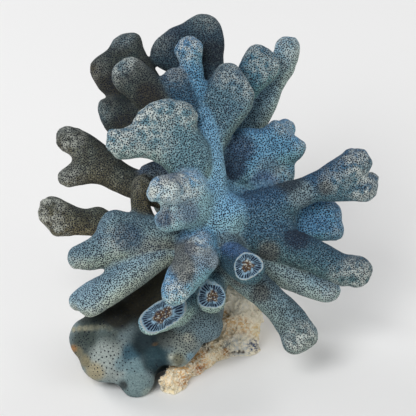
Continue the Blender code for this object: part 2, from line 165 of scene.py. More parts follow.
def to_world(across, front, up):
    """A place on the colony, in millimetres, as metres in the frame."""
    return ROOT_OF_COLONY + MM * Vector((
        across,
        up * math.sin(LEAN) - front * math.cos(LEAN),
        up * math.cos(LEAN) + front * math.sin(LEAN),
    ))


def points_of(mesh):
    """Every point of a mesh, in metres."""
    found = np.empty(len(mesh.vertices) * 3, np.float32)
    mesh.vertices.foreach_get("co", found)
    return found.reshape(-1, 3).astype(float)


def normals_of(mesh):
    """Which way the surface faces at every point."""
    found = np.empty(len(mesh.vertices) * 3, np.float32)
    mesh.vertex_normals.foreach_get("vector", found)
    return found.reshape(-1, 3)


def edges_of(mesh):
    """The two points of every edge."""
    found = np.empty(len(mesh.edges) * 2, np.int32)
    mesh.edges.foreach_get("vertices", found)
    return found.reshape(-1, 2)


def ease(value):
    """0 below 0, 1 above 1, and smooth between."""
    value = np.clip(value, 0, 1)
    return value * value * (3 - 2 * value)


# ---------------------------------------------------------------- everyday steps


def clear_selection():
    """Deselects everything, because an operator acts on all that is selected."""
    bpy.ops.object.select_all(action="DESELECT")


def pick(thing):
    """Leaves one object selected and active."""
    clear_selection()
    thing.hide_viewport = False
    thing.select_set(True)
    bpy.context.view_layer.objects.active = thing


def copy_of(names, name):
    """One mesh object from copies of CAD nodes, with the points of their triangles merged."""
    clear_selection()
    for node in names:
        copied = bpy.data.objects.new(name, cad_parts[node].data.copy())
        bpy.context.scene.collection.objects.link(copied)
        copied.select_set(True)
        bpy.context.view_layer.objects.active = copied
    if len(names) > 1:
        bpy.ops.object.join()
    copied = bpy.context.view_layer.objects.active
    copied.name = name
    copied.data.materials.clear()
    while copied.data.uv_layers:
        copied.data.uv_layers.remove(copied.data.uv_layers[0])
    bpy.ops.object.mode_set(mode="EDIT")
    bpy.ops.mesh.select_all(action="SELECT")
    bpy.ops.mesh.remove_doubles(threshold=MERGE)
    bpy.ops.mesh.normals_make_consistent(inside=False)
    bpy.ops.object.mode_set(mode="OBJECT")
    return copied


def apply(thing, kind, **settings):
    """Adds one modifier and applies it."""
    pick(thing)
    modifier = thing.modifiers.new(kind.lower(), kind)
    for key, value in settings.items():
        setattr(modifier, key, value)
    bpy.ops.object.modifier_apply(modifier=modifier.name)


def clouds(name, size, depth=2, kind="CLOUDS", **settings):
    """A procedural texture for relief."""
    texture = bpy.data.textures.new(name, kind)
    texture.noise_scale = size * MM
    if kind == "CLOUDS":
        texture.noise_depth = depth
    for key, value in settings.items():
        setattr(texture, key, value)
    return texture


def cut_flat(thing):
    """Cuts everything off below the floor and closes the cut."""
    pick(thing)
    bpy.ops.object.mode_set(mode="EDIT")
    bpy.ops.mesh.select_all(action="SELECT")
    bpy.ops.mesh.bisect(plane_co=(0, 0, 0), plane_no=(0, 0, 1), use_fill=True, clear_inner=True)
    bpy.ops.mesh.select_all(action="SELECT")
    bpy.ops.mesh.delete_loose()
    bpy.ops.object.mode_set(mode="OBJECT")


def write(mesh, name, values):
    """Stores one number for each point of a mesh."""
    layer = mesh.attributes.get(name) or mesh.attributes.new(name, "FLOAT", "POINT")
    layer.data.foreach_set("value", np.asarray(values, np.float32))


def read(mesh, name):
    """The numbers that write stored."""
    found = np.empty(len(mesh.vertices), np.float32)
    mesh.attributes[name].data.foreach_get("value", found)
    return found


def blurred(values, edges, rounds):
    """Evens numbers out between neighbouring points."""
    for _ in range(rounds):
        total = values.copy()
        count = np.ones(len(values))
        for a, b in ((0, 1), (1, 0)):
            total += np.bincount(edges[:, a], values[edges[:, b]], len(values))
            count += np.bincount(edges[:, a], minlength=len(values))
        values = total / count
    return values


def evened(rows, edges, rounds):
    """Evens out places or colours, one column after another."""
    return np.column_stack([blurred(column, edges, rounds) for column in rows.T])


def move_points(mesh, places):
    """Puts the points of a mesh at these places."""
    mesh.vertices.foreach_set("co", places.astype(np.float32).ravel())


# ---------------------------------------------------------------- the skin


def nearest_limb(mesh):
    """For each point, the number of the limb whose CAD node is nearest."""
    corners, triangles, owner = [], [], []
    for number, name in enumerate(LIMBS):
        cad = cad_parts[name].data
        cad.calc_loop_triangles()
        first = len(corners)
        corners += [vertex.co.copy() for vertex in cad.vertices]
        triangles += [[first + v for v in triangle.vertices] for triangle in cad.loop_triangles]
        owner += [number] * len(cad.loop_triangles)
    tree = BVHTree.FromPolygons(corners, triangles)
    return np.array([owner[tree.find_nearest(vertex.co)[2]] for vertex in mesh.vertices])


def majority(labels, edges, rounds):
    """Gives each point the label that most of its neighbours have, so that a border runs smoothly."""
    for _ in range(rounds):
        point = np.concatenate((edges[:, 0], edges[:, 1], np.arange(len(labels))))
        votes = np.concatenate((labels[edges[:, 1]], labels[edges[:, 0]], labels))
        labels = most_common(point, votes, labels.max() + 1)[1]
    return labels


def islands(count, edges):
    """A number for each point that is the same on all that hang together."""
    root = np.arange(count)
    while True:
        low = np.minimum(root[edges[:, 0]], root[edges[:, 1]])
        before = root.copy()
        np.minimum.at(root, root[edges[:, 0]], low)
        np.minimum.at(root, root[edges[:, 1]], low)
        root = root[root]
        if (root == before).all():
            return root


def without_crumbs(labels, edges):
    """Gives every small stray patch of a limb to the limb around it."""
    for _ in range(4):
        same = labels[edges[:, 0]] == labels[edges[:, 1]]
        patch = islands(len(labels), edges[same])
        size = np.bincount(patch, minlength=len(labels))[patch]
        biggest = np.zeros(labels.max() + 1, int)
        np.maximum.at(biggest, labels, size)
        stray = size < biggest[labels]
        if not stray.any():
            break
        border = ~same & (stray[edges[:, 0]] | stray[edges[:, 1]])
        for a, b in edges[border]:
            for inner, outer in ((a, b), (b, a)):
                if stray[inner] and not stray[outer]:
                    labels[patch == patch[inner]] = labels[outer]
                    stray[patch == patch[inner]] = False
    return labels


def scattered(places, allowed, gaps, seed):
    """Picks points at random, none nearer to another than its gap."""
    tree = KDTree(len(places))
    for number, place in enumerate(places):
        tree.insert(place, number)
    tree.balance()
    free = allowed.copy()
    order = np.random.default_rng(seed).permutation(np.flatnonzero(allowed))
    chosen = []
    for number in order:
        if free[number]:
            chosen.append(number)
            for _, other, _ in tree.find_range(places[number], gaps[number]):
                free[other] = False
    return np.array(chosen)


# Partly each limb's own colour, partly painted light and shade: the fans at the back are painted darker as
# painted shade, and limbs lying in the shade of others, such as the long right finger and the right lower
# lobe, are painted paler as painted light.
TONES = {  # the colour of each limb's ridges
    "encrusting_base": (112, 130, 134), "trunk": (95, 150, 190), "top_fan": (40, 66, 80),
    "upper_right_fan": (85, 120, 135), "front_paddle": (95, 135, 150), "top_finger": (85, 140, 175),
    "middle_left_fan": (58, 72, 72), "little_left_fan": (45, 85, 110), "rear_left_fan": (45, 60, 58),
    "low_left_fan": (45, 60, 58), "right_paddle": (65, 115, 135), "long_right_finger": (135, 170, 185),
    "right_crest": (96, 152, 185), "right_upper_arm": (58, 100, 128), "right_middle_arm": (85, 140, 175),
    "right_lower_arm": (60, 98, 115), "right_lower_lobe": (138, 172, 188),
    "low_right_branch": (108, 138, 150), "right_stub": (50, 90, 105), "front_stub": (124, 178, 210),
    "front_club": (110, 170, 205),
    "middle_stub": (115, 150, 160), "left_stub": (136, 178, 192), "left_front_branch": (121, 148, 154),
    "left_lowest_branch": (146, 174, 182), "left_riser": (92, 90, 70), "left_thumb": (80, 108, 134),
    "left_antler": (84, 90, 80), "low_antler": (96, 98, 80), "back_high_branch": (80, 115, 130),
    "back_right_branch": (80, 115, 130), "back_left_branch": (80, 100, 100),
    "back_low_branch": (80, 110, 125),
}
TIPS = {  # pale growing tips: across, up, radius, strength
    "front_paddle": [
        (-48, 33, 14, 1.0), (-34, 45, 12, 1.0), (-20, 48, 10, 0.8), (-9, 47, 9, 0.8), (-30, 34, 14, 0.7),
    ],
    "front_stub": [(-23, 8, 10, 1.0), (-10, 11, 9, 1.0), (-19, -5, 7, 0.5)],
    "front_club": [(-16, -41, 8, 1.0), (-5, -18, 7, 0.8), (-10, -33, 8, 0.5)],
    "left_front_branch": [(-68, -34, 10, 0.9), (-45, -16, 8, 0.4)],
    "left_lowest_branch": [(-68, -56, 8, 0.9), (-60, -58, 8, 0.8)],
    "right_upper_arm": [(74, 23, 10, 1.0), (78, 10, 9, 1.0), (84, 16, 5, 1.0), (62, 14, 8, 0.5)],
    "right_lower_arm": [(75, -32, 10, 1.0), (66, -34, 7, 0.6)],
    "right_lower_lobe": [(61, -42, 7, 0.5)],
    "right_middle_arm": [(67, -12, 7, 0.35), (66, 1, 7, 0.35)],
    "right_crest": [(50, 31, 7, 0.6), (40, 41, 6, 0.6), (34, 43, 5, 0.6), (38, 16, 6, 0.5)],
    "low_right_branch": [(48, -63, 8, 0.9), (43, -67, 7, 0.9)],
    "long_right_finger": [(40, 82, 10, 0.6), (38, 72, 8, 0.4)],
    "right_paddle": [(30, 75, 14, 0.6), (22, 80, 8, 0.6)],
    "upper_right_fan": [(10, 68, 9, 0.6), (20, 60, 8, 0.6)],
    "top_finger": [(-10, 80, 9, 0.9)],
    "top_fan": [(0, 96, 8, 0.4), (-24, 84, 8, 0.3)],
    "little_left_fan": [(-16, 68, 8, 0.6)],
    "middle_left_fan": [(-40, 73, 9, 0.6), (-47, 66, 7, 0.6)],
    "rear_left_fan": [(-42, 85, 8, 0.3), (-57, 70, 8, 0.4)],
    "low_left_fan": [(-54, 50, 9, 0.3)],
    "left_antler": [(-70, 35, 10, 0.7), (-70, 15, 8, 0.6)],
    "low_antler": [(-80, 0, 10, 0.9), (-76, -11, 7, 0.9)],
    "left_thumb": [(-30, 18, 6, 0.2)],
    "left_riser": [(-33, 14, 6, 0.3)],
}
GRIME = {  # how much olive-brown film a limb carries
    "rear_left_fan": 0.35, "middle_left_fan": 0.3, "low_left_fan": 0.3, "left_antler": 0.5,
    "low_antler": 0.55, "left_thumb": 0.4, "left_riser": 0.5, "long_right_finger": 0.1,
    "back_left_branch": 0.4, "front_club": 0.2, "low_right_branch": 0.25,
}
RICH = {  # how much deep blue shows on a limb
    "right_middle_arm": 0.4, "right_crest": 0.15, "right_lower_lobe": 0.3, "trunk": 0.5,
    "left_lowest_branch": 0.25, "left_front_branch": 0.2, "right_stub": 0.2, "upper_right_fan": 0.15,
    "front_stub": 0.15,
}


# Partly the limbs' own colours, partly painted light and shade: the pale dabs down the middle of the trunk
# are a painted highlight, the paler dabs high on the left fans are painted rim light, and the dark dabs in
# the crust's hollows, behind the left limbs, low on the left fans, where the right crest meets the trunk and
# on the front club's upper left are painted shade.
DABS = {  # across, up, radius, colour
    "encrusting_base": [
        (-58, -54, 8, (46, 56, 54)), (-45, -53, 9, (34, 34, 26)), (-32, -47, 11, (44, 40, 26)),
        (-22, -38, 10, (50, 48, 34)), (-60, -67, 9, (54, 66, 62)), (-50, -66, 6, (84, 98, 96)),
        (-48, -76, 11, (150, 160, 156)), (-43, -77, 4, (118, 142, 148)), (-56, -81, 5, (158, 150, 122)),
        (-61, -76, 3.5, (120, 114, 88)), (-66, -72, 4, (104, 100, 78)), (-67, -70, 1.6, (150, 108, 60)),
        (-67, -60.5, 1.3, (140, 138, 116)), (-64, -60, 1.4, (138, 136, 114)),
        (-61, -59.8, 1.4, (132, 130, 110)), (-58, -59.6, 1.4, (124, 124, 106)),
        (-55, -59.4, 1.4, (116, 118, 102)), (-52, -59.2, 1.4, (108, 112, 98)),
        (-49, -60, 1.4, (98, 104, 94)), (-46, -62, 1.5, (88, 98, 94)),
        (-38, -72, 5.5, (62, 98, 114)), (-36, -80, 5.5, (112, 138, 144)), (-30, -66, 9, (22, 42, 48)),
        (-25, -75, 7.5, (34, 62, 70)), (-23, -81, 4, (20, 48, 56)), (-27, -66.5, 1.6, (92, 74, 50)),
        (-36, -88.5, 8, (112, 134, 136)), (-30, -92, 3, (150, 166, 160)), (-42, -88, 2.5, (50, 60, 60)),
        (-20, -64, 6, (84, 92, 90)), (-11, -66, 7, (118, 126, 120)), (-14, -75, 5.5, (128, 138, 130)),
        (-18, -74, 1.4, (184, 188, 174)), (-16.5, -78, 1.4, (176, 184, 172)), (-15, -75, 3, (100, 100, 82)),
        (-9, -74, 2.2, (120, 152, 166)), (-12, -79.5, 1.8, (150, 174, 176)), (-12, -56, 7, (96, 114, 118)),
        (0, -60, 7.5, (100, 122, 130)), (4, -66, 1.8, (156, 174, 178)), (-10, -64.5, 2.4, (146, 150, 138)),
    ],
    "trunk": [
        (-1, 18, 8, (136, 166, 188)), (-1, 4, 6, (132, 164, 190)), (10, 1, 9, (48, 92, 124)),
        (8, -5, 5, (26, 62, 84)),
        (11, 9.5, 2, (130, 170, 194)), (15, 6, 2, (140, 180, 204)), (18, 1, 2, (124, 164, 190)),
        (-2, -9, 8, (136, 178, 216)), (10, -15, 5, (44, 76, 104)), (14, -19, 5, (62, 102, 148)),
    ],
    "front_stub": [
        (-18, 14, 7, (80, 104, 128)), (-18, 6, 6, (174, 200, 208)), (-8, 6, 5, (154, 188, 202)),
        (-10, -2, 6, (118, 146, 164)), (-21, -5, 5, (60, 88, 112)), (-27, 8, 3, (190, 202, 200)),
    ],
    "front_club": [
        (-13, -24, 9, (96, 104, 106)), (-11, -32, 5, (84, 94, 98)), (-2, -24, 6, (128, 152, 170)),
        (2, -27, 3, (180, 200, 212)), (-8, -19, 4, (70, 84, 104)), (-3, -15, 4, (130, 170, 204)),
    ],
    "right_crest": [
        (16, 30, 8, (52, 82, 108)), (12, 20, 8, (36, 64, 86)), (30, 19, 7, (108, 144, 162)),
        (28, 11, 8, (96, 130, 166)),
    ],
    "rear_left_fan": [(-44, 88, 8, (70, 96, 108)), (-60, 66, 7, (62, 58, 42)), (-48, 62, 7, (36, 38, 32))],
    "middle_left_fan": [(-44, 74, 8, (92, 116, 126)), (-30, 56, 7, (44, 44, 38))],
    "low_left_fan": [(-56, 47, 7, (64, 86, 92)), (-42, 42, 6, (36, 38, 32))],
    "top_fan": [(-2, 96, 9, (58, 84, 96)), (-28, 82, 8, (52, 74, 84)), (2, 78, 7, (30, 46, 54))],
    "right_stub": [(12, -18, 6, (62, 100, 144)), (17, -21, 3, (70, 108, 150))],
    "low_right_branch": [
        (8, -24, 6, (104, 112, 112)), (16, -34, 5, (104, 110, 106)), (26, -42, 5, (96, 106, 106)),
    ],
    "right_lower_arm": [(44, -14, 7, (28, 52, 74)), (34, -2, 8, (50, 78, 90)), (30, -22, 6, (88, 96, 92))],
    "right_upper_arm": [(46, 7, 7, (110, 132, 140)), (58, 10, 4, (72, 84, 88)), (40, 14, 7, (44, 62, 74))],
    "left_front_branch": [
        (-28, -22, 8, (140, 150, 142)), (-40, -14, 8, (66, 94, 112)), (-20, -22, 6, (124, 132, 124)),
    ],
}
BARE = {  # across, up, radius, how few pores there are
    "trunk": [(-2, -9, 7, 1.0), (10, 0, 8, 0.8)],
    "right_crest": [(28, 11, 7, 0.9)], "right_stub": [(12, -18, 5, 0.7)], "front_club": [(-3, -16, 3, 0.9)],
}
CRUST_PORES = [  # where the crust has pores: across, up, radius, how many
    (-48.5, -74, 10, 1.0), (-60, -66, 5, 0.3), (-8, -57, 11, 1.0), (1, -61, 7, 1.0), (-12, -69, 5, 0.4),
]
BULB = (-50, -75, 14)  # the swollen bulb, whose pores stand apart: across, up, radius
# The dark brown patch at across -2, up -70 is partly the rock's own colour and partly painted shade in the
# cavity under the crust.
ROCK_PATCHES = [  # across, up, radius, colour
    (18, -48, 13, (236, 232, 218)), (24, -56, 7, (240, 232, 212)), (8, -55, 4, (176, 140, 90)),
    (15, -62, 8, (222, 186, 134)), (26, -62, 4, (232, 208, 158)), (16, -71, 8, (214, 216, 212)),
    (23, -70, 3.6, (78, 94, 122)), (10, -70, 3.4, (142, 150, 150)), (9, -73, 2.4, (176, 132, 76)),
    (-2, -70, 3.6, (58, 42, 28)), (-4, -77, 6, (216, 166, 104)), (2, -76, 3.5, (246, 222, 180)),
    (-4, -82, 3, (196, 132, 74)), (-14, -82, 6, (232, 190, 132)), (-20, -86, 6, (246, 220, 176)),
    (-17, -92, 4.5, (250, 234, 194)), (-23, -90, 1.5, (34, 24, 16)), (-12, -87, 3, (206, 150, 86)),
    (32, -33, 8, (226, 218, 192)), (22, -20, 7, (110, 104, 70)),
]
PLAIN_ROCK = (220, 200, 160)  # its colour outside those patches
RELIEF = {  # across, up, radius, height in mm
    "encrusting_base": [
        (-30, -66, 7.5, -5.5), (-26, -75, 6, -3.4), (-23, -81, 4, -1.6), (-42, -88, 1.8, -1.6),
        (-38, -72, 2.4, -1.4), (-50, -75, 10, 1.2), (-36, -89, 6, 0.8), (-14, -75, 5, 1.4),
        (-64, -60.5, 2, 0.8), (-58, -59.6, 2, 0.8), (-52, -59.2, 2, 0.8), (-11, -66, 2, -0.8),
        (-20, -68, 2.5, -1.0), (-46, -66, 4, -1.2), (-58, -65, 3.5, -1.4),
    ],
    "front_stub": [(-25, 1, 3.4, -2.6), (-19, 0.5, 3, -2.0), (-13, -1, 3, -1.2), (-18, 10, 5, 0.8)],
    "front_club": [(0, -26, 5.5, 2.2), (-14, -26, 5, -1.2), (-4, -36, 4, -1.0)],
    "trunk": [(10, 0, 6, 1.2), (8, -6, 3, -0.8), (5, -9, 3, -1.0)],
}
# Painted light and shade by which way a surface faces: undersides painted brighter and warmer, sides that
# face up painted darker and cooler.
UNDERSIDE_PAINTED_LIGHT = (1.7, 1.34, 1.0)  # what the shaded undersides multiply a tone by
UPPER_SIDE_PAINTED_SHADE = (0.66, 0.76, 0.88)  # what the sides under the open sky multiply it by


def dabbed(places, tones, dabs):
    """Lays soft round dabs of (across, up, radius, colour) over the tones, one after another."""
    for across, up, radius, dab in dabs:
        away = np.hypot(places[:, 0] - across, places[:, 2] - up)
        weight = ease((1.3 * radius - away) / (0.7 * radius))[:, None]
        tones = tones * (1 - weight) + np.array(tint(*dab)) * weight
    return tones


def write_tones(mesh, tones):
    """Stores one colour for each point of a mesh."""
    layer = mesh.attributes.get("tone") or mesh.attributes.new("tone", "FLOAT_COLOR", "POINT")
    layer.data.foreach_set("color", np.column_stack((tones, np.ones(len(tones)))).astype(np.float32).ravel())


def soft_patches(places, patches):
    """How strongly soft round patches of (across, up, radius, strength) reach each place."""
    value = np.zeros(len(places))
    for across, up, radius, strength in patches:
        away = np.hypot(places[:, 0] - across, places[:, 2] - up)
        value = np.maximum(value, strength * ease((1.25 * radius - away) / (0.8 * radius)))
    return value


def knobs(skin, weights):
    """Raises the relief of the surface: low swellings all over, and knuckles where the limbs grow."""
    group = skin.vertex_groups.new(name="growing")
    for number in np.flatnonzero(weights > 0.03):
        group.add([int(number)], float(weights[number]), "REPLACE")
    apply(skin, "DISPLACE", texture=clouds("swellings", 9, 1), texture_coords="LOCAL", strength=1.1 * MM,
          mid_level=0.55)
    apply(skin, "DISPLACE", texture=clouds("knuckles", 5.5, 2), texture_coords="LOCAL", strength=3.0 * MM,
          mid_level=0.6, vertex_group="growing")
    skin.vertex_groups.clear()


def fill_creases(mesh, edges):
    """Evens out the deep folds between the limbs."""
    fold = blurred(ease(-bulge(mesh, edges, 30) / 0.7 - 0.7), edges, 6)[:, None]
    places = points_of(mesh)
    move_points(mesh, places + (evened(places, edges, 40) - places) * fold)


def loosened(mesh, size, seed):
    """The points, each shifted at random within the surface, so that no rows show."""
    places = points_of(mesh)
    normals = normals_of(mesh)
    shift = np.random.default_rng(seed).uniform(-size, size, places.shape)
    shift -= normals * (shift * normals).sum(axis=1)[:, None]
    return places + shift


def settled(places, edges, held, rounds):
    """Evens out the points round the held ones."""
    for _ in range(rounds):
        places = np.where(held[:, None], places, evened(places, edges, 1))
    return places


def pushed_back(places, edges, reach, held):
    """Moves the neighbours of each pore out to its reach."""
    shift, count = np.zeros_like(places), np.zeros(len(places))
    for a, b in ((edges[:, 0], edges[:, 1]), (edges[:, 1], edges[:, 0])):
        near = (reach[a] > 0) & ~held[b]
        way = places[b[near]] - places[a[near]]
        far = np.linalg.norm(way, axis=1)
        short = np.maximum(0, reach[a[near]] - far)
        np.add.at(shift, b[near], way * (short / np.maximum(far, 1e-9))[:, None])
        np.add.at(count, b[near], short > 0)
    return places + shift / np.maximum(count, 1)[:, None]


def bulge(mesh, edges, rounds):
    """How far each point stands out from its surroundings, in millimetres: below zero in a fork."""
    places = points_of(mesh)
    return ((places - evened(places, edges, rounds)) * normals_of(mesh)).sum(axis=1) / MM


def corners_of(mesh):
    """For every face corner: its point, its edge and its face."""
    point, edge = np.empty(len(mesh.loops), np.int32), np.empty(len(mesh.loops), np.int32)
    mesh.loops.foreach_get("vertex_index", point)
    mesh.loops.foreach_get("edge_index", edge)
    start = np.empty(len(mesh.polygons), np.int32)
    mesh.polygons.foreach_get("loop_start", start)
    return point, edge, np.repeat(np.arange(len(start)), np.diff(np.append(start, len(point))))


def most_common(keys, votes, kinds):
    """The commonest vote of each key, as (keys, votes)."""
    pair, number = np.unique(keys.astype(np.int64) * kinds + votes, return_counts=True)
    order = np.lexsort((number, pair // kinds))
    key = (pair // kinds)[order]
    last = np.append(key[1:] != key[:-1], True)
    return key[last], (pair[order] % kinds)[last]


def face_owners(mesh, labels):
    """Which limb each face belongs to, so that no two parts of a limb touch only at a corner."""
    point, edge, face = corners_of(mesh)
    kinds = labels.max() + 1
    owner = most_common(face, labels[point], kinds)[1]
    paired = np.flatnonzero(np.bincount(edge)[edge] == 2)
    order = paired[np.argsort(edge[paired], kind="stable")]
    first, second = face[order[0::2]], face[order[1::2]]
    ends = edges_of(mesh)[edge[order[0::2]]]
    for _ in range(30):
        border = owner[first] != owner[second]
        borders = np.bincount(ends[border].ravel(), minlength=len(labels))
        pairs = np.unique(point.astype(np.int64) * kinds + owner[face])
        limbs = np.bincount(pairs // kinds, minlength=len(labels))
        pinched = (limbs > 1) & (borders > limbs)
        if not pinched.any():
            break
        at = pinched[point]
        keys, votes = most_common(point[at], owner[face[at]], kinds)
        winner = np.zeros(len(labels), np.int64)
        winner[keys] = votes
        owner[face[at]] = winner[point[at]]
    pairs = np.unique(point.astype(np.int64) * kinds + owner[face])
    return owner.astype(np.int32), np.bincount(pairs // kinds, minlength=len(labels)) > 1


def limb_tones(mesh, labels, edges):
    """The colour of every point: its limb's tone, with painted light warming the undersides and painted
    shade cooling the sides that face up, and its dabs.
    """
    places = colony_places(mesh)
    tones = np.zeros((len(places), 3))
    for number, name in enumerate(LIMBS):
        tones[labels == number] = tint(*TONES[name])
    normals = normals_of(mesh)
    # painted light and shade: sky is how much a surface faces up and to the left; the crust gets none
    sky = 0.94 * (normals[:, 1] * math.sin(LEAN) + normals[:, 2] * math.cos(LEAN)) - 0.34 * normals[:, 0]
    grown = (labels != LIMBS.index(BASE))[:, None]
    tones *= 1 + (np.array(UNDERSIDE_PAINTED_LIGHT) - 1) * ease(0.1 - 1.4 * sky)[:, None] * grown
    tones *= 1 + (np.array(UPPER_SIDE_PAINTED_SHADE) - 1) * ease(1.6 * sky - 0.1)[:, None] * grown
    tones = evened(tones, edges, 10)
    for name, dabs in DABS.items():
        mine = labels == LIMBS.index(name)
        tones[mine] = dabbed(places[mine], tones[mine], dabs)
    return evened(tones, edges, 2)


def limb_relief(mesh, labels, edges):
    """How far the bumps and hollows of RELIEF lift every point, in millimetres."""
    places = colony_places(mesh)
    height = np.zeros(len(places))
    for name, bumps in RELIEF.items():
        mine = labels == LIMBS.index(name)
        for across, up, radius, rise in bumps:
            away = np.hypot(places[mine, 0] - across, places[mine, 2] - up)
            height[mine] += rise * ease((1.3 * radius - away) / (0.9 * radius))
    return blurred(height, edges, 6)


def paint(skin, labels, edges):
    """Stores the tones with their painted light and shade, tips, grime, blue patches, relief and bare crust
    on the skin's points.
    """
    mesh = skin.data
    places = colony_places(mesh)
    pale, grime, rich = (np.zeros(len(places)) for _ in range(3))
    for number, name in enumerate(LIMBS):
        mine = labels == number
        pale[mine] = soft_patches(places[mine], TIPS.get(name, []))
        grime[mine] = GRIME.get(name, 0)
        rich[mine] = RICH.get(name, 0)
    base = labels == LIMBS.index(BASE)
    bare = np.where(base, 1 - soft_patches(places, CRUST_PORES), 0.0)
    for name, patches in BARE.items():
        mine = labels == LIMBS.index(name)
        bare[mine] = soft_patches(places[mine], patches)
    write_tones(mesh, limb_tones(mesh, labels, edges))
    write(mesh, "relief", limb_relief(mesh, labels, edges))
    write(mesh, "crust", blurred(np.where(base, 1.0, 0.0), edges, 10))
    for name, values in (("pale", pale), ("grime", grime), ("rich", rich), ("bare", bare)):
        write(mesh, name, blurred(values, edges, 12))
    write(mesh, "bulge", bulge(mesh, edges, 50))


def grow_skin(sizes):
    """One skin over all the limbs, with what its shading needs to know stored on its points."""
    skin = copy_of(LIMBS, "coral_skin")
    apply(skin, "DISPLACE", strength=sizes.swell, mid_level=0)
    apply(skin, "REMESH", mode="VOXEL", voxel_size=sizes.coarse)
    apply(skin, "SMOOTH", factor=0.5, iterations=9)
    apply(skin, "REMESH", mode="VOXEL", voxel_size=sizes.fine)
    apply(skin, "SMOOTH", factor=0.5, iterations=3)
    cut_flat(skin)
    bpy.ops.object.mode_set(mode="EDIT")
    bpy.ops.mesh.select_all(action="SELECT")
    bpy.ops.mesh.quads_convert_to_tris(quad_method="SHORTEST_DIAGONAL", ngon_method="BEAUTY")
    bpy.ops.object.mode_set(mode="OBJECT")
    edges = edges_of(skin.data)
    fill_creases(skin.data, edges)
    labels = without_crumbs(majority(nearest_limb(skin.data), edges, 10), edges)
    paint(skin, labels, edges)
    pale, bare = read(skin.data, "pale"), read(skin.data, "bare")
    mesh = skin.data
    foot = points_of(mesh)[:, 2] < FOOT
    knobs(skin, pale * (1 - bare))
    shaped = points_of(mesh) + normals_of(mesh) * (read(mesh, "relief") * MM)[:, None]
    move_points(mesh, shaped)
    places = np.clip(points_of(mesh), np.array(CAD_BOX[0]) + INSET, np.array(CAD_BOX[1]) - INSET)
    places[:, 2] = np.where(foot, 0, places[:, 2])
    move_points(mesh, places)
    owner, border = face_owners(mesh, labels)
    mesh.polygons.foreach_set("material_index", owner)
    drill(skin, sizes, edges, border, bare)
    return skin


def drill(skin, sizes, edges, border, bare):
    """Chooses where the pores are, evens out the points round them, and marks them in a vertex group."""
    mesh = skin.data
    rng = np.random.default_rng(3)
    still = (points_of(mesh)[:, 2] < FOOT_BAND) | border
    places = np.where(still[:, None], points_of(mesh), loosened(mesh, SHAKE, 5))
    allowed = ~still & (rng.random(len(bare)) > bare * BARE_SHARE)
    away = np.hypot(*(colony_places(mesh)[:, (0, 2)] - BULB[:2]).T)
    bulb = ease(1.2 - away / BULB[2]) * read(mesh, "crust")
    gaps = sizes.pore_gap * (1 + BULB_GAP * ease(bulb * 3))
    pores = scattered(places, allowed, gaps, 11)
    held = still.copy()
    held[pores] = True
    places = settled(places, edges, held, 6)
    mouth = np.zeros(len(places))
    mouth[pores] = sizes.pore_radius * np.maximum(rng.uniform(*MOUTH_SHARES, len(pores)), bulb[pores])
    places = pushed_back(places, edges, mouth * 1.1, held)
    move_points(mesh, places)
    sides = np.linalg.norm(places[edges[:, 0]] - places[edges[:, 1]], axis=1)
    shortest = np.ones(len(places))
    for end in (0, 1):
        np.minimum.at(shortest, edges[:, end], sides)
    wide = np.minimum(mouth[pores], MOUTH_ON_EDGE * shortest[pores]) / sizes.pore_radius
    write(mesh, "seam", np.minimum(1, 2.5 * blurred(border.astype(float), edges, 5)))
    group = skin.vertex_groups.new(name="mouths")
    for number, weight in zip(pores.tolist(), wide.tolist()):
        group.add([number], max(weight, LEAST_WEIGHT), "REPLACE")


def split_limbs(skin):
    """Takes the skin apart into one piece for each limb."""
    for name in LIMBS:
        skin.data.materials.append(bpy.data.materials.new("part_" + name))
    pick(skin)
    bpy.ops.object.mode_set(mode="EDIT")
    bpy.ops.mesh.select_all(action="SELECT")
    bpy.ops.mesh.separate(type="MATERIAL")
    bpy.ops.object.mode_set(mode="OBJECT")
    pieces = {}
    for thing in list(bpy.context.selected_objects):
        name = thing.data.materials[0].name.removeprefix("part_")
        thing.name = "coral_" + name
        thing.data.materials.clear()
        pieces[name] = thing
    missing = sorted(set(LIMBS) - set(pieces))
    if missing:
        raise RuntimeError("the skin has no faces for " + ", ".join(missing))
    for name in LIMBS:
        bpy.data.materials.remove(bpy.data.materials["part_" + name])
    return pieces


RIM_BAND = 0.5 * MM  # no pore opens this close to a break
BRIDGE_REACH = 1.5 * MM  # the open edges this close to a break are bridged
RIB_STEPS = 6  # steps round a broken end for each of its ribs
STAR_RINGS = 40  # steps from its middle to its rim
STAR_SHARE = 0.965  # how much of the break it takes up, the rest being its bevelled edge
BROKEN_ENDS = {  # middle (across, front, up), direction, ribs
    "right_stub": ((21.0, 35.8, -30.9), (0.06, 0.97, 0.22), 34),
    "middle_stub": ((1.6, 28.0, -45.8), (0.0, 0.95, 0.30), 30),
    "left_stub": ((-24.2, 23.4, -54.0), (0.06, 0.93, 0.36), 44),
}


def select_open_edges():
    """In edit mode, selects the edges where the surface ends."""
    bpy.ops.mesh.select_mode(type="EDGE")
    bpy.ops.mesh.select_all(action="DESELECT")
    bpy.ops.mesh.select_non_manifold(
        extend=False, use_wire=False, use_multi_face=False, use_non_contiguous=False, use_verts=False)


def cut_across(piece, middle, normal):
    """Breaks the piece off along a plane and returns the outline of the break."""
    pick(piece)
    bpy.ops.object.mode_set(mode="EDIT")
    bpy.ops.mesh.select_mode(type="VERT")
    bpy.ops.mesh.select_all(action="SELECT")
    bpy.ops.mesh.bisect(plane_co=middle, plane_no=normal, clear_outer=True)
    bpy.ops.object.mode_set(mode="OBJECT")
    mesh = piece.data
    height = (points_of(mesh) - np.array(middle)) @ np.array(normal)
    piece.vertex_groups["mouths"].remove(np.flatnonzero(height > -RIM_BAND).tolist())
    return points_of(mesh)[height > -MERGE]


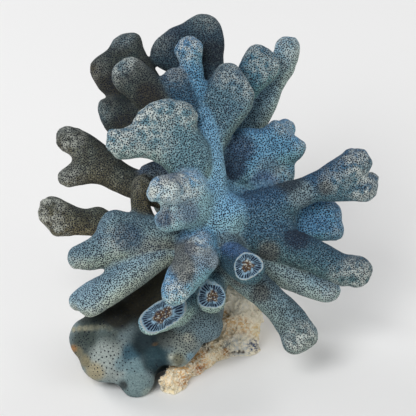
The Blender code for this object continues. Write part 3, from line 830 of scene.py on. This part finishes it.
def distance_to_rim(outline, middle, side, other, turn):
    """How far it is from the middle to the outline at every turn."""
    rim = (outline - middle) @ np.array((side, other)).T
    angle, reach = np.arctan2(rim[:, 1], rim[:, 0]) % math.tau, np.hypot(*rim.T)
    order = np.argsort(angle)
    return np.interp(turn, angle[order], reach[order], period=math.tau)


def star_tones(colours, slot, core, edge, crumbs, specks):
    """Pale ribs, navy slots as painted shade in the gaps, a rusty and chalky middle, and a pale edge."""
    septum, dark, rust, chalk = (
        np.array(c) for c in (colours.septum, colours.slot, colours.core, colours.chalk)
    )
    tones = septum * (1 + 0.5 * specks)[:, None]
    tones = tones + (dark - tones) * slot[:, None]
    middle_tone = rust + (chalk * 0.75 - rust) * ease(specks * 3 - 0.2)[:, None]
    middle_tone = middle_tone + (dark - middle_tone) * ease(-crumbs * 3 - 0.3)[:, None] * 0.8
    tones = tones + (middle_tone - tones) * core[:, None]
    return tones + (chalk * 0.55 - tones) * (edge * (0.7 + 0.6 * specks))[:, None]


def star(name, outline, normal, ribs, colours):
    """The broken end inside its outline: radial ribs and slots round a sunken, rusty middle.

    The disc is a grid rolled up: turn runs round it, and out from 0 in the middle to 1 at the rim.
    """
    clear_selection()
    bpy.ops.mesh.primitive_grid_add(x_subdivisions=ribs * RIB_STEPS, y_subdivisions=STAR_RINGS, size=2)
    disc = bpy.context.object
    mesh = disc.data
    flat = points_of(mesh)
    turn, out = (flat[:, 0] + 1) * math.pi, (1 - flat[:, 1]) / 2
    across, along = np.cos(turn), np.sin(turn)
    middle = outline.mean(axis=0)
    side = normal.orthogonal().normalized()
    other = normal.cross(side)
    radius = distance_to_rim(outline, middle, side, other, turn)
    rng = np.random.default_rng(ribs)
    wobble = sum(np.sin(turn * k + rng.uniform(0, math.tau)) * rng.uniform(0.2, 0.5) for k in (2, 3, 5, 7))
    flat_places = np.outer(out * radius * across, side) + np.outer(out * radius * along, other) + middle
    crumbs, specks = (
        np.array([noise.noise(Vector(place) / (size * MM)) for place in flat_places]) for size in (1.1, 0.7)
    )
    rib = turn / math.tau * ribs + 0.25 * np.sin(turn * 5 + 1) + 0.5 * crumbs * (1 - out)
    number = np.floor(rib).astype(int) % ribs
    inner = 0.44 + 0.06 * wobble + rng.uniform(-0.1, 0.14, ribs)[number]
    outer = 0.95 + 0.012 * wobble + rng.uniform(-0.08, 0.015, ribs)[number]
    slot = ease(rng.uniform(0.4, 1.05, ribs)[number] - 0.85 * np.cos(rib * math.tau))
    slot *= ease((out - inner) * 8) * ease((outer - out) * 14)
    core = ease((0.46 + 0.08 * wobble - out) * 7 + 0.3)
    sink = -1.0 * slot - core * (0.9 + 0.9 * crumbs) + 0.25 * ease((out - 0.86) * 14) + 0.15 * specks
    reach_out = STAR_SHARE * out * radius
    move_points(mesh, np.outer(reach_out * across, side) + np.outer(reach_out * along, other)
                + middle + np.outer(sink * MM, normal))
    write_tones(mesh, star_tones(colours, slot, core, ease((out - outer) * 16), crumbs, specks))
    write(mesh, "broken", np.ones(len(out)))
    bpy.ops.object.mode_set(mode="EDIT")
    bpy.ops.mesh.select_all(action="SELECT")
    bpy.ops.mesh.remove_doubles(threshold=0.004 * MM)
    bpy.ops.object.mode_set(mode="OBJECT")
    if sum(Vector(face.normal).dot(normal) * face.area for face in mesh.polygons) < 0:
        mesh.flip_normals()
    disc.name = name
    return disc


def break_end(piece, name, colours):
    """Gives a stub its broken end: cuts it off, lays the star in the cut and bridges the gap round it."""
    middle, direction, ribs = BROKEN_ENDS[name]
    normal = (to_world(*direction) - to_world(0, 0, 0)).normalized()
    outline = cut_across(piece, to_world(*middle), normal)
    disc = star("star_" + name, outline, normal, ribs, colours)
    clear_selection()
    disc.select_set(True)
    piece.select_set(True)
    bpy.context.view_layer.objects.active = piece
    bpy.ops.object.join()
    bpy.ops.object.mode_set(mode="EDIT")
    select_open_edges()
    bpy.ops.object.mode_set(mode="OBJECT")
    mesh = piece.data
    height = (points_of(mesh) - np.array(to_world(*middle))) @ np.array(normal)
    edges = edges_of(mesh)
    open_edges = np.empty(len(edges), bool)
    mesh.edges.foreach_get("select", open_edges)
    open_edges &= (height[edges] > -BRIDGE_REACH).all(axis=1)
    mesh.edges.foreach_set("select", open_edges)
    bpy.ops.object.mode_set(mode="EDIT")
    bpy.ops.mesh.bridge_edge_loops()
    bpy.ops.object.mode_set(mode="OBJECT")


def close_and_map(piece):
    """Caps the hidden open ends that fill_holes can close, and gives the piece a flat map.

    It finds no face for most of them. Those stay open, and the neighbour's skin goes on from their edge.
    """
    pick(piece)
    bpy.ops.object.mode_set(mode="EDIT")
    select_open_edges()
    skin_faces = len(piece.data.polygons)
    bpy.ops.mesh.fill_holes(sides=0)
    bpy.ops.object.mode_set(mode="OBJECT")
    caps = np.arange(len(piece.data.polygons)) >= skin_faces
    bpy.ops.object.mode_set(mode="EDIT")
    bpy.ops.mesh.select_mode(type="FACE")
    bpy.ops.mesh.select_all(action="DESELECT")
    bpy.ops.object.mode_set(mode="OBJECT")
    piece.data.polygons.foreach_set("select", caps)
    bpy.ops.object.mode_set(mode="EDIT")
    bpy.ops.mesh.poke(offset=-CAP_DEPTH, use_relative_offset=False, center_mode="MEDIAN")
    bpy.ops.mesh.select_all(action="SELECT")
    piece.data.uv_layers.new(name=BAKE_MAP)
    bpy.ops.uv.smart_project(angle_limit=math.radians(66), island_margin=0.004, scale_to_bounds=True)
    bpy.ops.object.mode_set(mode="OBJECT")


def open_pores(piece, sizes, finish):
    """Cuts the marked points off as small mouths, and pulls the middle of each mouth in."""
    for _ in range(2):
        piece.data.materials.append(finish)
    apply(piece, "BEVEL", affect="VERTICES", limit_method="VGROUP", vertex_group="mouths",
          offset_type="OFFSET", width=sizes.pore_radius, segments=1, material=1, use_clamp_overlap=False)
    mesh = piece.data
    outside = len(mesh.vertices)
    piece.active_material_index = 1
    bpy.ops.object.mode_set(mode="EDIT")
    bpy.ops.mesh.select_mode(type="FACE")
    bpy.ops.mesh.select_all(action="DESELECT")
    bpy.ops.object.material_slot_select()
    bpy.ops.mesh.poke(offset=-sizes.pore_depth, use_relative_offset=False)
    bpy.ops.object.mode_set(mode="OBJECT")
    deep = np.zeros(len(mesh.vertices))
    deep[outside:] = 1
    write(mesh, "pore", deep)
    places, edges = points_of(mesh), edges_of(mesh)
    rise = (deep * np.clip(read(mesh, "seam"), 0, 0.95))[:, None]
    move_points(mesh, places + (evened(places, edges, 1) - places) * rise)
    piece.vertex_groups.clear()
    mesh.polygons.foreach_set("material_index", np.zeros(len(mesh.polygons), np.int32))
    mesh.materials.pop(index=1)


# ---------------------------------------------------------------- finishes


class Wire:
    """One socket of a finish, so that values can be worked out in plain maths."""

    def __init__(self, finish, socket):
        self.finish = finish
        self.socket = socket

    def __add__(self, other):
        return self.finish.maths("ADD", self, other)

    def __radd__(self, other):
        return self.finish.maths("ADD", other, self)

    def __sub__(self, other):
        return self.finish.maths("SUBTRACT", self, other)

    def __rsub__(self, other):
        return self.finish.maths("SUBTRACT", other, self)

    def __mul__(self, other):
        return self.finish.maths("MULTIPLY", self, other)

    def __rmul__(self, other):
        return self.finish.maths("MULTIPLY", other, self)


class Finish:
    """A material and the nodes that it is made of."""

    def __init__(self, name, roughness=0.9):
        self.material = bpy.data.materials.new(name)
        self.material.use_nodes = True
        self.tree = self.material.node_tree
        self.shader = self.tree.nodes["Principled BSDF"]
        self.set_socket(self.shader, "Roughness", roughness)
        self.place = self.node("ShaderNodeTexCoord", output="Object")

    def socket(self, sockets, key):
        """The socket with this name or identifier."""
        return next(s for s in sockets if key in (s.identifier, s.name))

    def set_socket(self, node, key, value):
        """Links a wire to a socket, or writes a value on it."""
        socket = node.inputs[key] if isinstance(key, int) else self.socket(node.inputs, key)
        if isinstance(value, Wire):
            self.tree.links.new(value.socket, socket)
        elif socket.type == "RGBA" and len(value) == 3:
            socket.default_value = (*value, 1)
        else:
            socket.default_value = value

    def node(self, kind, settings=(), inputs=(), output=0):
        """Any node: its settings first, then the values or wires of its sockets. Gives one output back."""
        node = self.tree.nodes.new(kind)
        for key, value in dict(settings).items():
            setattr(node, key, value)
        for key, value in dict(inputs).items():
            self.set_socket(node, key, value)
        found = node.outputs[output] if isinstance(output, int) else self.socket(node.outputs, output)
        return Wire(self, found)

    def maths(self, operation, *values):
        """One Math node."""
        return self.node("ShaderNodeMath", {"operation": operation}, enumerate(values))

    def mix(self, first, second, factor):
        """From the first colour to the second as the factor goes from 0 to 1."""
        return self.node("ShaderNodeMix", {"data_type": "RGBA"},
                         {"Factor_Float": factor, "A_Color": first, "B_Color": second}, "Result_Color")

    def noise(self, size, detail=2.0, roughness=0.5):
        """Cloudy noise with features of about this many millimetres."""
        return self.node("ShaderNodeTexNoise", {},
                         {"Vector": self.place, "Scale": 1 / (size * MM), "Detail": detail,
                          "Roughness": roughness}, "Fac")

    def cell_walls(self, size):
        """How far a place is from the wall between two cells of about this many millimetres."""
        return self.node("ShaderNodeTexVoronoi", {"feature": "DISTANCE_TO_EDGE"},
                         {"Vector": self.place, "Scale": 1 / (size * MM)}, "Distance")

    def step(self, value, low, high):
        """0 below low, 1 above high, and smooth between."""
        return self.node("ShaderNodeMapRange", {"interpolation_type": "SMOOTHSTEP"},
                         {"Value": value, "From Min": low, "From Max": high})

    def stored(self, name):
        """The numbers that write stored."""
        return self.node("ShaderNodeAttribute", {"attribute_name": name}, {}, "Fac")

    def painted(self):
        """The colours that write_tones stored."""
        return self.node("ShaderNodeAttribute", {"attribute_name": "tone"}, {}, "Color")

    def bump(self, height, distance, strength):
        """Relief too fine for the mesh, this many millimetres high."""
        return self.node("ShaderNodeBump", {},
                         {"Height": height, "Distance": distance * MM, "Strength": strength})

    def finish(self, **sockets):
        """Wires up the shader and gives the material back."""
        for key, value in sockets.items():
            self.set_socket(self.shader, key.replace("_", " "), value)
        return self.material


def coral_finish(colours):
    """Grey-blue skeleton with navy pores whose dark insides are painted shade, pale growing tips, an
    olive-brown grime with more of it in the forks as painted shade, and a painted highlight on the knobs.
    """
    f = Finish("porous coral", roughness=0.88)
    pale, grime, rich, crust, deep, out, broken = (
        f.stored(n) for n in ("pale", "grime", "rich", "crust", "pore", "bulge", "broken"))
    tone = f.painted()
    # navy and pale specks on the ridges, fainter on the crust
    mottle = f.noise(0.8, 3, 0.65)
    ridge = f.mix(tone, colours.pore, f.step(mottle, 0.52, 0.38) * (0.85 - 0.5 * crust))
    glow = f.step(tone, 0.0, 0.16)  # the darkest limbs have the faintest specks and tips
    light = f.mix(tone, colours.chalk, 0.1 + glow * 0.34)
    ridge = f.mix(ridge, light, f.step(mottle, 0.54, 0.72) * (0.8 - 0.5 * crust))
    # deep blue patches, and the olive grime of each limb, with more of it in the forks as painted shade
    ridge = f.mix(ridge, colours.rich, rich * f.step(f.noise(12, 2), 0.42, 0.62) * 0.6)
    film_and_fork_shade = (grime + f.step(out, -0.2, -1.6) * 0.5) * (1 - crust)
    ridge = f.mix(ridge, colours.grime, film_and_fork_shade * f.step(f.noise(7, 3, 0.6), 0.36, 0.6))
    # growing tips: a pale maze with blotches of open pores
    maze = f.step(f.cell_walls(0.9), 0.05, 0.2)
    blotch = f.noise(1.5, 3, 0.65)
    tip = f.mix(tone, colours.chalk, 0.4 + glow * 0.6)
    tips = f.mix(f.mix(tip, tone, maze * 0.6), colours.pore, f.step(blotch, 0.5, 0.4) * 0.7)
    ridge = f.mix(ridge, tips, pale * f.step(f.noise(4, 3, 0.6), 0.34, 0.6) * 0.85)
    # knobs painted paler, a painted highlight on what bulges out, then the broken ends, whose own tones stay
    # clean
    ridge = f.mix(ridge, light, f.step(out, 0.7, 2.2) * 0.5)
    ridge = f.mix(ridge, tone, broken * 0.9)
    # the pore holes in the dark pore colour: painted shade inside them
    skeleton = f.mix(ridge, colours.pore, f.step(deep, 0.0, 0.12))
    return f.finish(Base_Color=skeleton, Normal=f.bump(f.noise(0.5, 3, 0.7), 0.15, 0.6))


def rock_finish(colours):
    """Bleached and stained reef rock with dark holes, a painted highlight on what bulges out and painted
    shade in its hollows.
    """
    f = Finish("reef rock", roughness=0.93)
    out = f.stored("bulge")
    stone = f.mix(f.painted(), colours.ochre, f.step(f.noise(3, 4, 0.7), 0.56, 0.68) * 0.35)
    stone = f.mix(stone, colours.cream, f.step(f.noise(1.6, 4, 0.75), 0.44, 0.56) * 0.9)
    # what bulges out painted cream: a painted highlight
    stone = f.mix(stone, colours.cream, f.step(out, 0.0, 0.4) * 0.8)
    holes = f.step(f.noise(1.0, 4, 0.8), 0.6, 0.65)
    # dark soil in the noise holes, and in the hollows as painted shade
    stone = f.mix(stone, colours.soil_and_hollow_shade, f.maths("MAXIMUM", holes * 0.8, f.step(out, -0.5, -1.3) * 0.8))
    return f.finish(Base_Color=stone, Normal=f.bump(f.noise(1.0, 5, 0.75), 0.6, 0.9))


# ---------------------------------------------------------------- operators


class CORAL_OT_limbs(bpy.types.Operator):
    """Grow the porous skin and take it apart into the limbs"""
    bl_idname = "coral.limbs"
    bl_label = "Coral limbs"

    def execute(self, context):
        sizes = context.scene.coral_sizes
        finish = coral_finish(context.scene.coral_colours)
        for name, piece in split_limbs(grow_skin(sizes)).items():
            if name in BROKEN_ENDS:
                break_end(piece, name, context.scene.coral_colours)
            close_and_map(piece)
            open_pores(piece, sizes, finish)
            pick(piece)
            bpy.ops.object.shade_smooth_by_angle(angle=math.radians(42))
            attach(piece, "root")
            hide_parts(name)
        return {"FINISHED"}


def roughen(rock):
    """Gives the rock its ledges, cracks, crumbs and pits, and leaves its foot flat."""
    above = rock.vertex_groups.new(name="above the foot")
    for number, weight in enumerate(ease((points_of(rock.data)[:, 2] / MM - 0.3) / 1.2).tolist()):
        above.add([number], weight, "REPLACE")
    cracks = clouds("cracks", 4.5, kind="VORONOI", distance_metric="DISTANCE", weight_1=-1, weight_2=1)
    for texture, height, middle in (
        (clouds("ledges", 7, 1), 3.4, 0.55),
        (cracks, 1.8, 0.5),
        (clouds("crumbs", 2.2, 2, noise_type="HARD_NOISE"), 2.4, 0.65),
        (clouds("pits", 1.1, 2), 1.7, 0.6),
    ):
        apply(rock, "DISPLACE", texture=texture, texture_coords="LOCAL", strength=height * MM,
              mid_level=middle, vertex_group="above the foot")


class CORAL_OT_rock(bpy.types.Operator):
    """Roughen the reef rock"""
    bl_idname = "coral.rock"
    bl_label = "Reef rock"

    def execute(self, context):
        sizes = context.scene.coral_sizes
        rock = copy_of([ROCK], "tan_reef_rock")
        apply(rock, "REMESH", mode="VOXEL", voxel_size=sizes.rock_grain)
        apply(rock, "SMOOTH", factor=0.5, iterations=6)
        roughen(rock)
        apply(rock, "SMOOTH", factor=0.5, iterations=1)
        mesh = rock.data
        places = colony_places(mesh)
        write_tones(mesh, dabbed(places, np.tile(tint(*PLAIN_ROCK), (len(places), 1)), ROCK_PATCHES))
        write(mesh, "bulge", bulge(mesh, edges_of(mesh), 14))
        rock.vertex_groups.clear()
        pick(rock)
        bpy.ops.object.shade_smooth_by_angle(angle=math.radians(50))
        rock.data.materials.clear()
        rock.data.materials.append(rock_finish(context.scene.coral_colours))
        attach(rock, "root")
        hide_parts(ROCK)
        return {"FINISHED"}


FLOOR_SIZE = 8  # metres
LAMPS = (  # name, place in metres, width in metres, watts
    ("key light", (-0.55, -1.0, 1.15), 0.8, 16),
    ("fill light", (1.1, -0.7, 0.6), 0.9, 3.5),
    ("left rim light", (-1.1, 0.7, 0.7), 0.7, 9),
    ("right rim light", (1.0, 0.9, 0.8), 0.7, 7),
)
SKY_STRENGTH = 0.26


class CORAL_OT_stage(bpy.types.Operator):
    """Set up the floor, the lights and the camera"""
    bl_idname = "coral.stage"
    bl_label = "Stage"

    def execute(self, context):
        stage = context.scene.coral_stage
        clear_selection()
        bpy.ops.mesh.primitive_plane_add(size=FLOOR_SIZE, location=(0, 0, 0))
        floor = context.object
        floor.name = "floor"
        f = Finish("pale floor", roughness=0.9)
        floor.data.materials.append(f.finish(Base_Color=tuple(stage.floor)))
        aim = ROOT_OF_COLONY
        back = Vector((0, -math.cos(LEAN), math.sin(LEAN)))
        data = bpy.data.cameras.new("camera")
        data.lens = stage.lens
        data.sensor_width = 36
        camera = bpy.data.objects.new("camera", data)
        camera.location = aim + back * stage.distance
        camera.rotation_euler = back.to_track_quat("Z", "Y").to_euler()
        context.scene.collection.objects.link(camera)
        context.scene.camera = camera
        for name, place, width, watts in LAMPS:
            lamp = bpy.data.lights.new(name, "AREA")
            lamp.energy = watts
            lamp.size = width
            light = bpy.data.objects.new(name, lamp)
            light.location = place
            light.rotation_euler = (Vector(place) - aim).to_track_quat("Z", "Y").to_euler()
            context.scene.collection.objects.link(light)
        world = bpy.data.worlds.new("studio")
        world.use_nodes = True
        sky = world.node_tree.nodes["Background"]
        sky.inputs["Color"].default_value = (1, 1, 1, 1)
        sky.inputs["Strength"].default_value = SKY_STRENGTH
        context.scene.world = world
        context.scene.view_settings.view_transform = "Standard"
        return {"FINISHED"}


class CORAL_PT_panel(bpy.types.Panel):
    """The coral's tools and settings"""
    bl_label = "Blue Ridge Coral"
    bl_idname = "CORAL_PT_panel"
    bl_space_type = "VIEW_3D"
    bl_region_type = "UI"
    bl_category = "Coral"

    def draw(self, context):
        for operator in OPERATORS:
            self.layout.operator(operator.bl_idname)
        for group in (context.scene.coral_sizes, context.scene.coral_colours, context.scene.coral_stage):
            box = self.layout.box()
            for key in group.__annotations__:
                box.prop(group, key)


OPERATORS = (CORAL_OT_limbs, CORAL_OT_rock, CORAL_OT_stage)
CLASSES = (CoralSizes, CoralColours, CoralStage, *OPERATORS, CORAL_PT_panel)


def register():
    """Gives Blender the classes and the scene their settings."""
    for cls in CLASSES:
        bpy.utils.register_class(cls)
    bpy.types.Scene.coral_sizes = bpy.props.PointerProperty(type=CoralSizes)
    bpy.types.Scene.coral_colours = bpy.props.PointerProperty(type=CoralColours)
    bpy.types.Scene.coral_stage = bpy.props.PointerProperty(type=CoralStage)


def unregister():
    """Takes them away again."""
    del bpy.types.Scene.coral_stage
    del bpy.types.Scene.coral_colours
    del bpy.types.Scene.coral_sizes
    for cls in reversed(CLASSES):
        bpy.utils.unregister_class(cls)


def main():
    """Dresses the coral: grows its limbs, roughens the rock and sets up the stage."""
    register()
    bpy.ops.coral.limbs()
    bpy.ops.coral.rock()
    bpy.ops.coral.stage()


if __name__ == "__main__":
    main()
